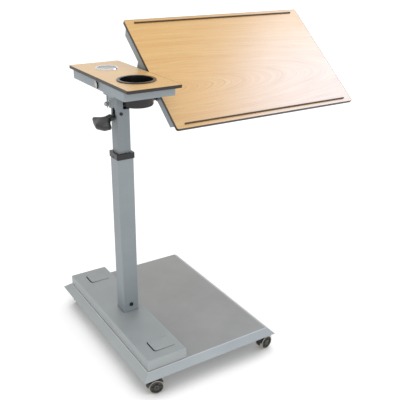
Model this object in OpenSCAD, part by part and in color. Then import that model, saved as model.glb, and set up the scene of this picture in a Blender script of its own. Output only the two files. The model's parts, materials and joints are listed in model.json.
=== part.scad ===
// Mobile tilting work table: a steel base on four twin-wheel casters carries a
// two-part square column with a gas spring, a small fixed side table with a cup
// well, and a wide desk top that tilts on a shaft beside it.
// +X runs from the column to the desk, +Y to the back, +Z up. The origin lies on
// the floor, below the middle of the whole table.

/* [Base] */
// Width of the flat deck, left to right
deck_w = 434; // [400:1:520]
// Depth of the deck, front to back
deck_d = 592; // [560:1:700]
// Height of the deck's top above the floor
deck_h = 83; // [80:1:95]
// Thickness of the base's sheet steel
sheet_t = 2; // [1.5:0.1:2.5]
// How far the sloping skirt drops below the deck's top
skirt_drop = 18; // [14:1:22]
// How far the skirt stands out past the deck's edge
skirt_out = 22; // [16:1:30]
// Distance of the column's axis from the deck's left edge
column_inset = 84; // [80:1:110]

/* [Plinth] */
// Width of the raised cover along the deck's left side
plinth_w = 130; // [126:1:150]
// Height of the raised cover above the deck
plinth_h = 34; // [28:1:45]
// Distance of the cover from the deck's edges
plinth_gap = 3; // [1:0.5:6]
// Width of the two sprung tongues in the cover's top
tongue_w = 68; // [60:1:76]
// Depth of a tongue, front to back
tongue_d = 53; // [40:1:70]
// Distance of a tongue from the cover's nearest end
tongue_end = 34; // [18:1:40]
// How far a tongue's free edge is sprung up
tongue_lift = 2.2; // [1:0.1:5]

/* [Column] */
// Outside width of the fixed lower tube
lower_tube_w = 52; // [50:0.5:55]
// Wall of both column tubes
tube_wall = 2; // [1.5:0.1:2.5]
// Height of the lower tube's top above the deck
lower_tube_len = 569; // [540:1:600]
// Outside width of the sliding upper tube
upper_tube_w = 41.5; // [38:0.5:42.5]
// Height of the upper tube's foot above the deck, as pictured
upper_foot = 220; // [200:1:240]
// Outside width of the collar on the lower tube
collar_w = 58; // [57:0.5:70]
// Height of the collar's visible band
collar_h = 18; // [14:0.5:26]
// Width of the guide gap between sliding parts, per side
slide_gap = 0.4; // [0.3:0.05:0.6]

/* [Gas spring] */
// Outside diameter of the gas spring's cylinder
cylinder_d = 24; // [20:0.5:28]
// Diameter of the gas spring's rod
rod_d = 10; // [8:0.5:12]
// Length of the gas spring's cylinder
cylinder_len = 410; // [400:1:430]
// Height of the anchor bolt above the cover's top
anchor_h = 25; // [23:1:36]

/* [Release lever] */
// Length of the lever from its pin to the middle of the grip
lever_reach = 62; // [58:1:68]
// Length of the grip, front to back
grip_len = 120; // [100:1:130]
// Thickness of the grip
grip_d = 20; // [18:0.5:24]
// Diameter of the lever's pin
lever_pin_d = 8; // [6:0.5:9]

/* [Side table] */
// Width of the side table, left to right
side_w = 173; // [165:1:200]
// Depth of the side table, front to back
side_d = 420; // [400:1:480]
// Thickness of the laminated boards
board_t = 9; // [8:0.5:15]
// Radius of the boards' corners
board_r = 8; // [4:0.5:14]
// Thickness of the boards' black edge band
band_t = 1.6; // [1:0.1:2.5]
// Height of the side table's top above the lower tube's top, as pictured
tube_show = 219; // [214:1:228]
// Distance of the side table's left edge from the column's axis
side_left = 38; // [36:1:44]
// Distance of the side table's front edge from the column's axis
side_front = 130; // [110:1:150]
// Depth of the sheet steel pan below the side board
pan_h = 27; // [22:0.5:28]
// Thickness of the pan's sheet steel
pan_t = 1.5; // [1:0.1:2]

/* [Cup and cable grommet] */
// Outside diameter of the cup's rim
cup_rim_d = 116; // [108:1:118]
// Inside diameter of the cup at its mouth
cup_mouth_d = 97; // [94:1:98]
// Inside diameter of the cup at its floor
cup_floor_d = 92; // [80:1:92]
// Depth of the cup below the side table's top
cup_depth = 74; // [60:1:74]
// Distance of the cup's axis from the side table's front edge
cup_front = 119; // [116:1:122]
// Distance of the cup's axis from the side table's left edge
cup_side = 88; // [85:1:91]
// Wall of the cup
cup_wall = 2; // [1.5:0.1:2.5]
// Outside diameter of the cable grommet's ring
grommet_d = 74; // [60:1:80]
// Distance of the grommet's axis from the side table's back edge
grommet_back = 100; // [80:1:120]

/* [Desk top] */
// Width of the desk top, left to right
desk_w = 712; // [600:1:760]
// Depth of the desk top, front to back
desk_d = 438; // [400:1:480]
// Gap between the side table and the desk top
desk_gap = 6; // [5:1:20]
// Slope of the desk top, as pictured
desk_tilt = 39; // [20:1:60]
// Distance of the tilt shaft from the desk top's lower edge
shaft_from_edge = 147; // [130:1:170]
// Depth of the tilt shaft's axis below the desk's top face
shaft_below_top = 30; // [28:0.5:36]
// Distance of the tilt shaft behind the column's axis
shaft_back = 46; // [46:0.5:52]
// Depth of the tilt shaft's axis below the side table's top
shaft_drop = 74; // [71:1:77]
// Diameter of the tilt shaft
shaft_d = 12; // [10:0.5:13]
// Distance of the two thin ledges from the desk's long edges
ledge_inset = 16; // [12:1:30]
// Distance of a ledge's ends from the desk's short edges
ledge_end = 33; // [20:1:60]
// Height of a ledge
ledge_h = 5; // [3:0.5:8]
// Thickness of a ledge
ledge_t = 4; // [3:0.5:6]
// Depth of the steel rails under the desk
rail_h = 26; // [22:0.5:27]

/* [Casters] */
// Diameter of a caster's wheels
wheel_d = 46; // [40:1:48]
// Width of one of a caster's two wheels
wheel_w = 12; // [10:0.5:13]
// Distance of the wheels' axle from the swivel axis
trail = 17; // [14:0.5:20]
// Distance of a caster's stem from the deck's edges
caster_inset = 12; // [12:0.5:20]
// Swing of the left casters, as pictured
left_swing = -15; // [-60:1:60]
// Swing of the right casters, as pictured
right_swing = 8; // [-60:1:60]

/* [Hidden] */
$fn = 64;

// One overrun for every cut, and the clearances shared by the fits
over = 1;
run_fit = 0.05;
hole_fit = 0.5;
arc_steps = 6;

// Where the column stands in the table's frame
base_left = -column_inset - skirt_out;
desk_x = side_w - side_left + desk_gap;
desk_right = desk_x + desk_w;
column_x = -(base_left + desk_right) / 2;
deck_mid_x = deck_w / 2 - column_inset;

// Base and plinth
skirt_slope = atan(skirt_drop / skirt_out);
fold_r = sheet_t * 2;
deck_low = deck_h - sheet_t;
plinth_len = deck_d - 2 * plinth_gap;
plinth_top = deck_h + plinth_h;
plinth_x = plinth_gap - column_inset;
tongue_x = (plinth_w - tongue_w) / 2 + plinth_x + sheet_t * 5.5;
tongue_slit = sheet_t / 2;
tongue_r = tongue_d / 7;
foot_gap = 1;

// Column
lower_top = deck_h + lower_tube_len;
lower_bore = lower_tube_w - 2 * tube_wall;
upper_low = deck_h + upper_foot;
upper_bore = upper_tube_w - 2 * tube_wall;
tube_r = tube_wall * 1.5;
foot_plate_w = lower_tube_w * 1.7;
foot_plate_d = lower_tube_w * 2.6;
foot_plate_t = tube_wall * 3;
foot_bolt_d = tube_wall * 4;
foot_bolt_x = foot_plate_w / 2 - foot_bolt_d * 1.5;
foot_bolt_y = foot_plate_d / 2 - foot_bolt_d * 1.5;
collar_sleeve = collar_h * 1.2;
collar_lap = collar_h / 2;
collar_screw_d = tube_wall * 3;
collar_screw_z = lower_top - collar_lap / 2;
bush_h = upper_tube_w * 0.8;
bush_lip = tube_wall * 2;

// Side table
side_top = lower_top + tube_show;
side_low = side_top - board_t;
pan_low = side_low - pan_h;
pan_inset_left = 3.5;
pan_inset_right = 8;
pan_inset_end = 30;
pan_w = side_w - pan_inset_left - pan_inset_right;
pan_d = side_d - 2 * pan_inset_end;
pan_r = pan_t * 2;
shaft_h = side_top - shaft_drop;
side_mid_x = side_w / 2 - side_left;
side_mid_y = side_d / 2 - side_front;
pan_mid_x = pan_inset_left - side_left + pan_w / 2;
side_screw_d = board_t / 2;
port_d = pan_h * 0.82;
port_rim = pan_t * 1.4;
port_rise = pan_t * 3;

// Cup and grommet
cup_x = cup_side - side_left;
cup_y = cup_front - side_front;
cup_rim_h = cup_wall * 1.5;
cup_low = side_top - cup_depth;
cup_hole_d = cup_mouth_d + 2 * cup_wall + 2 * hole_fit;
cup_clear_d = cup_hole_d + 2 * hole_fit;
grommet_y = side_d - grommet_back - side_front;
grommet_wall = band_t * 1.5;
grommet_rim = grommet_d / 9;
grommet_rise = board_t / 3;
grommet_hole_d = grommet_d - 2 * grommet_rim + 2 * grommet_wall;
grommet_depth = board_t * 1.5;
lid_t = board_t / 4;

// Head bracket
plate_t = tube_wall * 1.5;
web_top = side_low - pan_t;
web_low = web_top - plate_t;
upper_top = web_low;
neck_z = cup_low - board_t / 2;
cheek_x = -upper_tube_w / 3;
hub_r = shaft_d;
cheek_back = shaft_back + hub_r;
cheek_low = shaft_h - hub_r;
right_cheek_x = cup_x + cup_hole_d / 2 + plate_t * 3;
bush_wall = shaft_d / 8;
bush_flange = bush_wall;
web_front = -upper_tube_w / 2;
web_left = pan_inset_left - side_left + pan_t * 2.5;
lip_h = pan_h * 1.1;
web_right = right_cheek_x + plate_t;

// Gas spring and release
anchor_z = plinth_top + anchor_h;
anchor_d = rod_d * 0.8;
anchor_head_d = rod_d * 1.3;
anchor_head_h = anchor_d / 3;
cylinder_low = anchor_z - cylinder_d / 2;
cylinder_top = cylinder_low + cylinder_len;
cylinder_wall = cylinder_d / 12;
piston_d = cylinder_d - 2 * cylinder_wall;
piston_h = rod_d;
pin_z = neck_z - rod_d * 1.25;
pin_x = -upper_tube_w * 0.175;
lever_h = lever_pin_d * 2;
lever_t = lever_pin_d;
lever_drop = lever_pin_d * 1.6;
tail_h = lever_h * 0.35;
tail_len = lever_reach * 0.52;
stem_z = pin_z - lever_drop;
trigger_d = rod_d * 0.4;
trigger_rise = rod_d * 0.35;
trigger_depth = rod_d * 2;
trigger_gap = 0.3;
rod_top = stem_z - lever_h / 4 - trigger_rise;
seat_h = rod_d * 1.2;
rod_low = cylinder_low + cylinder_wall + cylinder_d + cylinder_len / 3;
trigger_top = rod_top + trigger_rise;
slot_w = lever_t + grip_d * 0.6;
slot_low = stem_z - lever_h * 0.7;
slot_top = pin_z + lever_h;
pin_head_d = lever_pin_d * 1.25;
pin_head_h = lever_pin_d / 4;

// Desk
rail_w = rail_h;
rail_t = sheet_t;
rail_slant_share = 0.5;
rail_inset = band_t * 2;
rail_end = desk_d / 21;
rail_len = desk_d - 2 * rail_end;
board_low_n = shaft_below_top - board_t;
rail_low_n = board_low_n - rail_h;
gusset_t = plate_t;
gusset_low_n = rail_low_n - rail_h * 0.75;
gusset_share = [0.303, 0.39, 0.658, 0.672];
desk_u0 = -shaft_from_edge;
torsion_d = shaft_d * 2;
torsion_wall = tube_wall;
shoulder_x = cheek_x - bush_flange;
shaft_in_tube = desk_d / 4;
torsion_x0 = desk_x + rail_inset + gusset_t;
torsion_x1 = desk_right - rail_inset - gusset_t;
stud_d = shaft_d * 2 / 3;
nut_d = shaft_d * 1.15;
nut_t = shaft_d * 0.6;
washer_t = shaft_d / 8;
dome_r = nut_d * 0.42;
desk_screw_share = [0.1, 0.5, 0.86];

// Casters
wheel_r = wheel_d / 2;
web_t = wheel_w / 2;
wheel_gap = 0.5;
axle_d = wheel_d / 7;
hub_d = wheel_d * 0.34;
hood_gap = wheel_w / 8;
hood_t = wheel_w / 8;
hood_r = wheel_r + hood_gap + hood_t;
hood_from = 35;
hood_to = 168;
hood_w = web_t + 2 * wheel_gap + 2 * wheel_w;
boss_d = hub_d * 1.5;
boss_top = deck_h - skirt_drop - hood_gap;
stem_d = boss_d * 0.42;
stem_seat = boss_d / 2;
pad_h = sheet_t * 3;
pad_w = caster_inset * 3;
pad_shift = pad_w / 2 - caster_inset + fold_r;
pad_low = deck_low - pad_h;
tread_t = wheel_w / 5;
caster_x = [caster_inset - column_inset, deck_w - column_inset - caster_inset];
caster_y = deck_d / 2 - caster_inset;

// Moves a piece from the column's axis to the table's own frame
module at_column() {
    translate([column_x, 0, 0]) children();
}

// Moves a piece from the tilt shaft to the sloping desk: X along the shaft,
// Y up the slope, Z square to the board
module at_desk() {
    at_column() translate([0, shaft_back, shaft_h]) rotate([desk_tilt, 0, 0]) children();
}

// Points of an arc about a centre, from one angle to another
function arc(centre, r, from, to) =
    [for (i = [0 : arc_steps]) let (a = from + (to - from) * i / arc_steps)
        centre + r * [cos(a), sin(a)]];

// Outline of a folded sheet seen along its length: a level top, two rounded
// folds, and sides that slope down to a lower level
function hip_outline(half, top, low, slope, r) =
    let (set = r * tan(slope / 2), run = (top - low) / tan(slope))
    concat([[-half - run, low], [half + run, low]],
        arc([half - set, top - r], r, 90 - slope, 90),
        arc([set - half, top - r], r, 90, 90 + slope));

// Solid with a level top and the same folded edge on all four sides
module hipped_block(w, d, top, low, slope, r) {
    span = 2 * (max(w, d) + top - low) + 2 * skirt_out;
    intersection() {
        rotate([90, 0, 0]) linear_extrude(span, center = true)
            polygon(hip_outline(w / 2, top, low, slope, r));
        rotate([90, 0, 90]) linear_extrude(span, center = true)
            polygon(hip_outline(d / 2, top, low, slope, r));
    }
}

module rounded_rect(w, d, r) {
    square([w - 2 * r, d], center = true);
    square([w, d - 2 * r], center = true);
    for (x = [-1, 1], y = [-1, 1])
        translate([x * (w / 2 - r), y * (d / 2 - r)]) circle(r);
}

module square_tube(w, bore, len) {
    linear_extrude(len) difference() {
        rounded_rect(w, w, tube_r);
        rounded_rect(bore, bore, tube_r - tube_wall / 2);
    }
}

module hex_head(d, h) {
    cylinder(h, d = d, $fn = 6);
}

// Base
module base_tray() {
    color("lightslategray") at_column() translate([deck_mid_x, 0, 0]) difference() {
        hipped_block(deck_w, deck_d, deck_h, deck_h - skirt_drop, skirt_slope, fold_r);
        hipped_block(deck_w - 2 * sheet_t * tan(skirt_slope / 2),
            deck_d - 2 * sheet_t * tan(skirt_slope / 2), deck_low,
            deck_h - skirt_drop - over, skirt_slope, fold_r - sheet_t);
        translate([-deck_mid_x, 0, deck_low - over]) foot_bolt_places()
            cylinder(sheet_t + 2 * over, d = foot_bolt_d + 2 * hole_fit);
    }
}

module caster_places() {
    for (x = caster_x, y = [-caster_y, caster_y])
        translate([x, y, 0]) children();
}

module caster_pads() {
    color("gray") at_column() for (x = [0, 1], y = [-1, 1])
        translate([caster_x[x], y * caster_y, pad_low]) linear_extrude(pad_h) difference() {
            translate([(1 - 2 * x) * pad_shift, -y * pad_shift])
                rounded_rect(pad_w, pad_w, tube_r);
            circle(d = stem_d + 2 * run_fit);
        }
}

module caster_stems() {
    color("silver") at_column() caster_places() {
        translate([0, 0, boss_top - stem_seat]) cylinder(deck_low - boss_top + stem_seat, d = stem_d);
        translate([0, 0, pad_low - sheet_t]) hex_head(stem_d * 1.8, sheet_t);
    }
}

// Tongue with two rounded corners on its free left edge; grow widens every
// side but the hinged right one
module tongue_outline(grow) {
    left = -tongue_w / 2;
    side = tongue_d / 2;
    translate([left - grow, tongue_r - side]) square([tongue_w + grow, 2 * (side - tongue_r)]);
    translate([left + tongue_r, -side - grow]) square([tongue_w - tongue_r, 2 * (side + grow)]);
    for (y = [-1, 1])
        translate([left + tongue_r, y * (side - tongue_r)]) circle(tongue_r + grow);
}

// Both tongues, each hinged on its right edge and sprung up at its left edge
module tongue_places() {
    for (y = [-1, 1])
        translate([tongue_x + tongue_w / 2, y * (plinth_len / 2 - tongue_end - tongue_d / 2), 0])
            children();
}

module plinth_cover() {
    color("lightslategray") at_column() {
        difference() {
            translate([plinth_x + plinth_w / 2, 0, 0])
                hipped_block(plinth_w, plinth_len, plinth_top, deck_h, 90, fold_r);
            translate([plinth_x + plinth_w / 2, 0, 0])
                hipped_block(plinth_w - 2 * sheet_t, plinth_len - 2 * sheet_t,
                    plinth_top - sheet_t, deck_h - over, 90, fold_r - sheet_t);
            tongue_places() translate([-sheet_t, 0, plinth_top - sheet_t - over])
                linear_extrude(sheet_t + 2 * over) tongue_outline(tongue_slit);
            translate([0, 0, plinth_top - sheet_t - over]) linear_extrude(sheet_t + 2 * over)
                rounded_rect(lower_tube_w + 2 * foot_gap, lower_tube_w + 2 * foot_gap,
                    tube_r + foot_gap);
        }
        tongue_places() translate([tongue_w / 2, 0, plinth_top - sheet_t])
            rotate([0, asin(tongue_lift / tongue_w), 0]) translate([-tongue_w / 2, 0, 0])
            linear_extrude(sheet_t) tongue_outline(0);
    }
}

// Column, fixed part
module foot_bolt_places() {
    for (x = [-1, 1], y = [-1, 1])
        translate([x * foot_bolt_x, y * foot_bolt_y, 0]) children();
}

module lower_tube() {
    color("slategray") at_column() difference() {
        translate([0, 0, deck_h + foot_plate_t])
            square_tube(lower_tube_w, lower_bore, lower_tube_len - foot_plate_t);
        translate([0, lower_tube_w / 2 + over, anchor_z]) rotate([90, 0, 0])
            cylinder(lower_tube_w + 2 * over, d = anchor_d + 2 * run_fit);
        translate([-lower_tube_w / 2 - over, 0, collar_screw_z]) rotate([0, 90, 0])
            cylinder(tube_wall + 2 * over, d = collar_screw_d / 2 + 2 * run_fit);
    }
}

module foot_plate() {
    color("slategray") at_column() difference() {
        translate([0, 0, deck_h]) linear_extrude(foot_plate_t)
            rounded_rect(foot_plate_w, foot_plate_d, tube_r);
        translate([0, 0, deck_h - over]) foot_bolt_places()
            cylinder(foot_plate_t + 2 * over, d = foot_bolt_d + 2 * hole_fit);
    }
}

module foot_bolts() {
    shank = foot_plate_t + sheet_t + foot_bolt_d * 1.2;
    color("silver") at_column() foot_bolt_places() {
        translate([0, 0, deck_h + foot_plate_t]) hex_head(foot_bolt_d * 1.9, foot_bolt_d * 0.65);
        translate([0, 0, deck_h + foot_plate_t - shank]) cylinder(shank, d = foot_bolt_d);
        translate([0, 0, deck_low - foot_bolt_d * 0.8]) hex_head(foot_bolt_d * 1.9, foot_bolt_d * 0.8);
    }
}

module column_collar() {
    slide_w = upper_tube_w + 2 * slide_gap;
    color("black") at_column() difference() {
        union() {
            translate([0, 0, lower_top - collar_lap]) linear_extrude(collar_h)
                rounded_rect(collar_w, collar_w, tube_r * 1.5);
            translate([0, 0, lower_top - collar_sleeve]) linear_extrude(collar_sleeve)
                rounded_rect(lower_bore - 2 * run_fit, lower_bore - 2 * run_fit, tube_wall);
        }
        translate([0, 0, lower_top - collar_sleeve - over]) linear_extrude(collar_sleeve + collar_h)
            rounded_rect(slide_w, slide_w, tube_r);
        translate([0, 0, lower_top - collar_lap - over]) linear_extrude(collar_lap + over)
            difference() {
                rounded_rect(lower_tube_w + 2 * run_fit, lower_tube_w + 2 * run_fit, tube_r);
                rounded_rect(lower_bore - 2 * run_fit, lower_bore - 2 * run_fit, tube_wall);
            }
        translate([-collar_w / 2 - over, 0, collar_screw_z]) rotate([0, 90, 0])
            cylinder((collar_w - lower_tube_w) / 2 + 2 * over, d = collar_screw_d + 2 * run_fit);
    }
}

module collar_screw() {
    head_h = (collar_w - lower_tube_w) / 2 - run_fit;
    color("dimgray") at_column() translate([-lower_tube_w / 2, 0, collar_screw_z])
        rotate([0, -90, 0]) difference() {
            union() {
                cylinder(head_h, d = collar_screw_d);
                translate([0, 0, -tube_wall]) cylinder(tube_wall + head_h / 2, d = collar_screw_d / 2);
            }
            translate([0, 0, head_h / 2]) cylinder(head_h, d = collar_screw_d / 2, $fn = 6);
        }
}

// Gas spring: cylinder below on the anchor bolt, rod and release pin above
module spring_cylinder() {
    color("dimgray") at_column() difference() {
        union() {
            translate([0, 0, anchor_z + cylinder_d / 2])
                cylinder(cylinder_top - anchor_z - cylinder_d / 2, d = cylinder_d);
            translate([0, 0, anchor_z]) rotate([90, 0, 0])
                cylinder(cylinder_d / 2, d = cylinder_d, center = true);
            translate([0, 0, anchor_z + cylinder_d / 4])
                cube([cylinder_d / 2, cylinder_d / 2, cylinder_d / 2], center = true);
        }
        translate([0, lower_tube_w / 2, anchor_z]) rotate([90, 0, 0])
            cylinder(lower_tube_w, d = anchor_d + 2 * run_fit);
        translate([0, 0, anchor_z + cylinder_d / 2 + cylinder_wall])
            cylinder(cylinder_len - cylinder_d - cylinder_wall - rod_d, d = piston_d);
        translate([0, 0, cylinder_top - rod_d * 2]) cylinder(rod_d * 2 + over, d = rod_d + 2 * run_fit);
    }
}

module anchor_bolt() {
    half = lower_tube_w / 2;
    color("black") at_column() translate([0, 0, anchor_z]) rotate([90, 0, 0]) {
        translate([0, 0, -half - anchor_head_h]) cylinder(2 * (half + anchor_head_h) - over, d = anchor_d);
        difference() {
            translate([0, 0, half]) cylinder(anchor_head_h, d = anchor_head_d);
            translate([0, 0, half + anchor_head_h / 2]) cylinder(anchor_head_h, d = anchor_d / 2, $fn = 6);
        }
        translate([0, 0, -half - anchor_head_h]) hex_head(anchor_head_d, anchor_head_h);
    }
}

// Column, sliding part
module cup_clearance(low, high) {
    translate([cup_x, cup_y, low]) cylinder(high - low, d = cup_clear_d);
}

module upper_tube() {
    half = upper_tube_w / 2;
    color("slategray") at_column() difference() {
        translate([0, 0, upper_low]) square_tube(upper_tube_w, upper_bore, upper_top - upper_low);
        cup_clearance(neck_z, side_top);
        translate([-half - over, 0, slot_low]) rotate([90, 0, 90]) linear_extrude(tube_wall + 2 * over)
            slot_outline();
        translate([pin_x, half + over, pin_z]) rotate([90, 0, 0])
            cylinder(upper_tube_w + 2 * over, d = lever_pin_d + 2 * run_fit);
    }
}

module slot_outline() {
    translate([-slot_w / 2, slot_w / 2]) square([slot_w, slot_top - slot_low - slot_w]);
    translate([0, slot_w / 2]) circle(d = slot_w);
    translate([0, slot_top - slot_low - slot_w / 2]) circle(d = slot_w);
}

module guide_bush() {
    outer = lower_bore - 2 * slide_gap;
    color("ivory") at_column() difference() {
        translate([0, 0, upper_low - bush_lip]) linear_extrude(bush_h)
            rounded_rect(outer, outer, tube_wall);
        translate([0, 0, upper_low]) linear_extrude(bush_h)
            rounded_rect(upper_tube_w, upper_tube_w, tube_r);
        translate([0, 0, upper_low - bush_lip - over]) cylinder(bush_h, d = upper_bore - tube_wall);
    }
}

module spring_rod() {
    color("silver") at_column() difference() {
        union() {
            translate([0, 0, rod_low]) cylinder(rod_top - rod_low, d = rod_d);
            translate([0, 0, rod_low]) cylinder(piston_h, d = piston_d - 2 * run_fit);
        }
        translate([0, 0, rod_top - trigger_depth])
            cylinder(trigger_depth + over, d = trigger_d + 2 * run_fit);
    }
}

module rod_seat() {
    color("gray") at_column() translate([0, 0, rod_top - seat_h]) linear_extrude(seat_h) difference() {
        rounded_rect(upper_bore, upper_bore, tube_wall);
        circle(d = rod_d + 2 * run_fit);
        translate([0, upper_bore / 2]) circle(d = rod_d);
    }
}

module release_pin() {
    color("gold") at_column() translate([0, 0, rod_top - trigger_depth / 2])
        cylinder(trigger_depth / 2 + trigger_rise, d = trigger_d);
}

module lever_pin() {
    half = upper_tube_w / 2;
    color("black") at_column() translate([pin_x, 0, pin_z]) rotate([90, 0, 0]) {
        translate([0, 0, -half - pin_head_h]) cylinder(2 * (half + pin_head_h) - over / 2, d = lever_pin_d);
        difference() {
            translate([0, 0, half]) cylinder(pin_head_h, d = pin_head_d);
            translate([0, 0, half + pin_head_h / 2]) cylinder(pin_head_h, d = lever_pin_d / 2, $fn = 6);
        }
        translate([0, 0, -half - pin_head_h]) cylinder(pin_head_h, d = pin_head_d);
    }
}

// Lever outline in the XZ plane, around the pin: a nose over the release pin,
// an eye, and a tail that leaves the column through its slot
module release_lever() {
    nose_low = trigger_top + trigger_gap - pin_z;
    color("dimgray") at_column() translate([pin_x, lever_t / 2, pin_z]) rotate([90, 0, 0])
        linear_extrude(lever_t) difference() {
            union() {
                circle(d = lever_h);
                translate([0, nose_low]) square([-pin_x + 2 * trigger_d, lever_h / 4 - nose_low]);
                translate([-lever_h / 2, -lever_drop]) square([lever_h * 0.75, lever_drop]);
                translate([-tail_len, -lever_drop - tail_h / 2]) square([tail_len + lever_h / 4, tail_h]);
            }
            circle(d = lever_pin_d + 2 * run_fit);
        }
}

// Ball of the grip's outline, or one on each side: out along the lever, across
// it, down from its tail
module grip_ball(out, across, down, d) {
    for (side = across > 0 ? [-1, 1] : [0])
        translate([pin_x - out, side * across, stem_z - down]) sphere(d = d, $fn = 24);
}

module grip_root() {
    grip_ball(pin_x + upper_tube_w / 2 + grip_d * 0.36, grip_len * 0.11, -grip_d * 0.09, grip_d * 0.6);
}

module grip_waist() {
    grip_ball(lever_reach * 0.56, grip_len * 0.09, grip_d * 0.11, grip_d * 0.6);
}

module grip_arms() {
    grip_ball(lever_reach * 0.705, grip_len * 0.225, grip_d * 0.36, grip_d * 0.6);
    grip_ball(lever_reach * 0.915, grip_len * 0.25, grip_d * 0.91, grip_d * 0.9);
}

module grip_ends() {
    grip_ball(lever_reach * 0.85, grip_len * 0.45, grip_d * 0.61, grip_d * 0.6);
}

// Moulded T grip: a flat stem that flares into a wide cross paddle with slimmer
// ends, cored for the lever's tail
module lever_grip() {
    half = lever_reach + grip_len;
    color("black") at_column() difference() {
        union() {
            hull() {
                grip_root();
                grip_waist();
            }
            hull() {
                grip_waist();
                grip_arms();
                grip_ball(lever_reach, 0, grip_d * 0.96, grip_d * 1.1);
            }
            for (side = [-1, 1]) hull() intersection() {
                union() {
                    grip_arms();
                    grip_ends();
                }
                translate([0, side * half / 2, stem_z]) cube([2 * half, half, half], center = true);
            }
        }
        translate([pin_x - tail_len - over, -lever_t / 2 - run_fit, stem_z - tail_h / 2 - run_fit])
            cube([lever_reach, lever_t + 2 * run_fit, tail_h + 2 * run_fit]);
    }
}

// Head: web plate under the pan with a folded lip at its left, and two cheeks
// that carry the tilt shaft behind the column and the cup
module cheek(x, front) {
    translate([x, 0, 0]) rotate([90, 0, 90]) linear_extrude(plate_t) difference() {
        union() {
            polygon([[front, cheek_low], [shaft_back, cheek_low], [cheek_back, shaft_h],
                [cheek_back, web_low], [front, web_low]]);
            translate([shaft_back, shaft_h]) circle(hub_r);
        }
        translate([shaft_back, shaft_h]) circle(d = shaft_d + 2 * bush_wall);
    }
}

module head_bracket() {
    color("slategray") at_column() {
        difference() {
            translate([web_left, web_front, web_low])
                cube([web_right - web_left, cheek_back - web_front, plate_t]);
            cup_clearance(neck_z, side_top);
        }
        cheek(cheek_x, upper_tube_w / 2);
        cheek(right_cheek_x, shaft_back - hub_r);
        translate([web_left, web_front, web_low - lip_h]) cube([plate_t, shaft_back - web_front, lip_h]);
    }
}

module flanged_bush(x, side) {
    translate([x, shaft_back, shaft_h]) rotate([0, 90, 0]) difference() {
        union() {
            cylinder(plate_t, d = shaft_d + 2 * bush_wall);
            translate([0, 0, side > 0 ? plate_t : -bush_flange])
                cylinder(bush_flange, d = shaft_d + 5 * bush_wall);
        }
        translate([0, 0, -plate_t]) cylinder(3 * plate_t, d = shaft_d + 2 * run_fit);
    }
}

module shaft_bushes() {
    color("ivory") at_column() {
        flanged_bush(cheek_x, -1);
        flanged_bush(right_cheek_x, 1);
    }
}

// Side table
module side_hole_cuts(low) {
    translate([cup_x, cup_y, low - over]) cylinder(side_top - low + 2 * over, d = cup_hole_d);
    translate([side_mid_x, grommet_y, low - over])
        cylinder(side_top - low + 2 * over, d = grommet_hole_d);
}

module side_pan() {
    color("slategray") at_column() difference() {
        translate([pan_mid_x, side_mid_y, 0])
            hipped_block(pan_w, pan_d, side_low, pan_low, 90, pan_r);
        translate([pan_mid_x, side_mid_y, 0])
            hipped_block(pan_w - 2 * pan_t, pan_d - 2 * pan_t, web_top, pan_low - over, 90, pan_r - pan_t);
        side_hole_cuts(web_top);
        translate([pan_mid_x - pan_w / 2 - over, side_mid_y, (pan_low + side_low) / 2])
            rotate([0, 90, 0]) cylinder(pan_t + 2 * over, d = port_d - 2 * port_rim);
    }
}

// Blind plug for the cable port, with a shallow dish in its face
module port_bush() {
    color("lightgray") at_column()
        translate([pan_mid_x - pan_w / 2, side_mid_y, (pan_low + side_low) / 2]) rotate([0, -90, 0])
        difference() {
            union() {
                cylinder(port_rise, d = port_d);
                translate([0, 0, -pan_t - port_rim])
                    cylinder(pan_t + 2 * port_rim, d = port_d - 2 * port_rim - 2 * run_fit);
            }
            translate([0, 0, port_rise - port_rim / 4])
                cylinder(port_rim, d = port_d - 2 * port_rim);
        }
}

module board_blank(w, d, grow) {
    linear_extrude(board_t) rounded_rect(w - 2 * grow, d - 2 * grow, board_r - grow);
}

module edge_band(w, d) {
    linear_extrude(board_t) difference() {
        rounded_rect(w, d, board_r);
        rounded_rect(w - 2 * band_t, d - 2 * band_t, board_r - band_t);
    }
}

module side_board() {
    color("burlywood") at_column() difference() {
        translate([side_mid_x, side_mid_y, side_low]) board_blank(side_w, side_d, band_t);
        side_hole_cuts(side_low);
    }
}

module side_edge_band() {
    color("black") at_column() translate([side_mid_x, side_mid_y, side_low]) edge_band(side_w, side_d);
}

module side_screws() {
    color("silver") at_column() for (x = [-1, 1], y = [-1, 0, 1])
        translate([pan_mid_x + x * (pan_w / 2 - board_t * 1.2), side_mid_y + y * (pan_d / 2 - board_t * 2),
            web_top - side_screw_d / 3]) cylinder(side_screw_d / 3, d = side_screw_d * 2);
}

// Flanged ring with a low crown and a seat for its lid
module grommet_ring() {
    inner_r = grommet_d / 2 - grommet_rim;
    outer_r = grommet_hole_d / 2 - hole_fit;
    seat_r = inner_r - grommet_rim / 3;
    seat_z = -lid_t;
    color("silver") at_column() translate([side_mid_x, grommet_y, side_top])
        rotate_extrude() polygon([
            [inner_r, grommet_rise / 2], [inner_r, seat_z], [seat_r, seat_z],
            [seat_r, seat_z - grommet_wall], [inner_r, seat_z - grommet_wall],
            [inner_r, -grommet_depth], [outer_r, -grommet_depth], [outer_r, 0],
            [grommet_d / 2, 0], [grommet_d / 2 - grommet_rim / 8, grommet_rise * 0.6],
            [grommet_d / 2 - grommet_rim / 3, grommet_rise],
            [grommet_d / 2 - grommet_rim * 0.7, grommet_rise]]);
}

module grommet_lid() {
    color("lightgray") at_column() translate([side_mid_x, grommet_y, side_top - lid_t])
        cylinder(lid_t, r = grommet_d / 2 - grommet_rim - hole_fit);
}

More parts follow.
